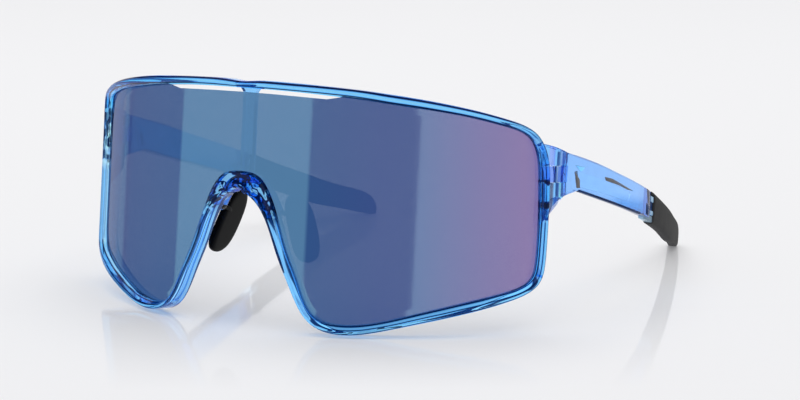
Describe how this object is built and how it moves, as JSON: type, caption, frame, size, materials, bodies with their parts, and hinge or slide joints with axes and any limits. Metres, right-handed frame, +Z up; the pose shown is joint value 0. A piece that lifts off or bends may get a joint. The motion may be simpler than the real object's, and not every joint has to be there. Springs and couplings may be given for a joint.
{
  "type": "wraparound sport sunglasses",
  "caption": "Wraparound sport sunglasses with a single cylindrical mirror shield lens, translucent frame, folding temples with soft rubber tips and adjustable nose pads.",
  "frame": {"origin": "on the floor the glasses stand on, below the middle of their overall box, in the plane of symmetry", "axes": "+Z up, front faces -Y, +X to the wearer's left; temples open, standing on the lower rim and both temple tips"},
  "size_m": [0.1374, 0.146, 0.0609],
  "materials": {
    "frame_crystal": "polished translucent blue",
    "temple_crystal": "polished translucent light blue",
    "lens_mirror": "blue violet mirror coating",
    "soft_rubber": "satin",
    "inlay_plastic": "clear flush inlay",
    "pin_steel": "satin",
    "wire_steel": "satin"
  },
  "bodies": {
    "front": {"front_frame": "frame_crystal", "lens": "lens_mirror", "nose_bridge_holder": "frame_crystal", "hinge_pin_left": "pin_steel", "hinge_pin_right": "pin_steel"},
    "left_temple_arm": {"temple_left": "temple_crystal", "temple_inlay_left": "inlay_plastic", "temple_tip_left": "soft_rubber", "temple_tip_wire_left": "wire_steel"},
    "right_temple_arm": {"temple_right": "temple_crystal", "temple_inlay_right": "inlay_plastic", "temple_tip_right": "soft_rubber", "temple_tip_wire_right": "wire_steel"},
    "left_pad_arm": {"nose_pad_left": "soft_rubber", "nose_pad_wire_left": "wire_steel"},
    "right_pad_arm": {"nose_pad_right": "soft_rubber", "nose_pad_wire_right": "wire_steel"}
  },
  "joints": [
    {"name": "temple_left_fold", "type": "hinge", "parent": "front", "child": "left_temple_arm", "pos_m": [0.0669, -0.03063, 0.0374], "axis": [0, 0.1187, 0.9929], "range_deg": [0, 90]},
    {"name": "temple_right_fold", "type": "hinge", "parent": "front", "child": "right_temple_arm", "pos_m": [-0.0669, -0.03063, 0.0374], "axis": [0, -0.1187, -0.9929], "range_deg": [0, 78]},
    {"name": "nose_pad_left_bend", "type": "hinge", "parent": "front", "child": "left_pad_arm", "pos_m": [0.0086, -0.06149, 0.02774], "axis": [0, 0.9929, -0.1187], "range_deg": [-8, 8]},
    {"name": "nose_pad_right_bend", "type": "hinge", "parent": "front", "child": "right_pad_arm", "pos_m": [-0.0086, -0.06149, 0.02774], "axis": [0, -0.9929, 0.1187], "range_deg": [-8, 8]}
  ]
}
